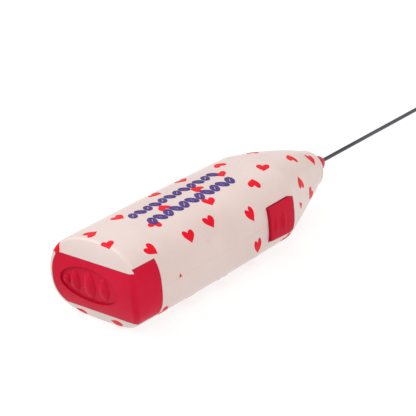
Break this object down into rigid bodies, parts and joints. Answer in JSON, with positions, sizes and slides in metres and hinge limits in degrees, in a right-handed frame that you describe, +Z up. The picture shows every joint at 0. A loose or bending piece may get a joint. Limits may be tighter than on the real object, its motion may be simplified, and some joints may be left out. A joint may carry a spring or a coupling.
{
  "type": "handheld milk frother",
  "caption": "Battery milk frother: oval two-part handle with side button and sliding end cap, motor inside, and a long thin wire that ends in a coil-wound whisk ring.",
  "frame": {"origin": "bottom centre of the bounding box, with the frother lying on its broad side; the whisk's axis is parallel to X, 14.25 mm above the origin", "axes": "+X along the wire from the handle to the whisk, +Z up from the face it lies on to the printed face, -Y towards the button"},
  "size_m": [0.21, 0.0397, 0.0287],
  "materials": {
    "casing_white": "moulded, glossy, cream white",
    "cap_red": "moulded, satin red",
    "button_red": "moulded, satin red",
    "collar_red": "moulded, satin red",
    "cradle_plastic": "moulded, matt",
    "cell_can": "drawn can with a printed sleeve",
    "contact_metal": "stamped, nickel plated",
    "leaf_bronze": "sprung phosphor bronze",
    "motor_steel": "drawn steel, plated",
    "bell_plastic": "moulded, matt",
    "magnet_ferrite": "sintered, dark grey",
    "bush_bronze": "sintered bronze, oiled",
    "shaft_steel": "ground steel",
    "core_steel": "stacked laminations",
    "winding_copper": "enamelled copper wire",
    "commutator_copper": "turned copper",
    "insulator": "phenolic moulding",
    "coupling_plastic": "moulded nylon",
    "wire_steel": "drawn spring steel wire, dark",
    "coil_steel": "wound stainless wire",
    "heart_print": "printed ink, red hearts",
    "ornament_print": "printed ink, purple ornament"
  },
  "bodies": {
    "handle": {"upper_shell": "casing_white", "lower_shell": "casing_white", "nose_collar": "collar_red", "cradle": "cradle_plastic", "battery_a": "cell_can", "battery_b": "cell_can", "negative_coil": "contact_metal", "negative_strip": "contact_metal", "positive_strip": "contact_metal", "switch_leaf": "leaf_bronze", "fixed_contact": "contact_metal", "motor_can": "motor_steel", "motor_end_bell": "bell_plastic", "motor_terminal_positive": "contact_metal", "motor_terminal_negative": "contact_metal", "motor_brush_positive": "leaf_bronze", "motor_brush_negative": "leaf_bronze", "motor_magnet_left": "magnet_ferrite", "motor_magnet_right": "magnet_ferrite", "rear_bush": "bush_bronze", "front_bush": "bush_bronze"},
    "rotor": {"motor_shaft": "shaft_steel", "armature_core": "core_steel", "armature_windings": "winding_copper", "commutator": "commutator_copper", "commutator_sleeve": "insulator", "shaft_coupling": "coupling_plastic", "whisk_wire": "wire_steel", "whisk_coil": "coil_steel"},
    "button": {"power_button": "button_red"},
    "cap": {"battery_cap": "cap_red", "cap_contact": "contact_metal"}
  },
  "joints": [
    {"name": "whisk_spin", "type": "hinge", "parent": "handle", "child": "rotor", "pos_m": [0, 0, 0.01425], "axis": [1, 0, 0], "continuous": true},
    {"name": "button_press", "type": "slide", "parent": "handle", "child": "button", "axis": [0, 1, 0], "range_m": [0, 0.0014], "stiffness_N_per_m": 900, "springref_m": -0.0008, "deforming": ["switch_leaf"]},
    {"name": "cap_slide", "type": "slide", "parent": "handle", "child": "cap", "axis": [0, -1, 0], "range_m": [0, 0.045]}
  ]
}
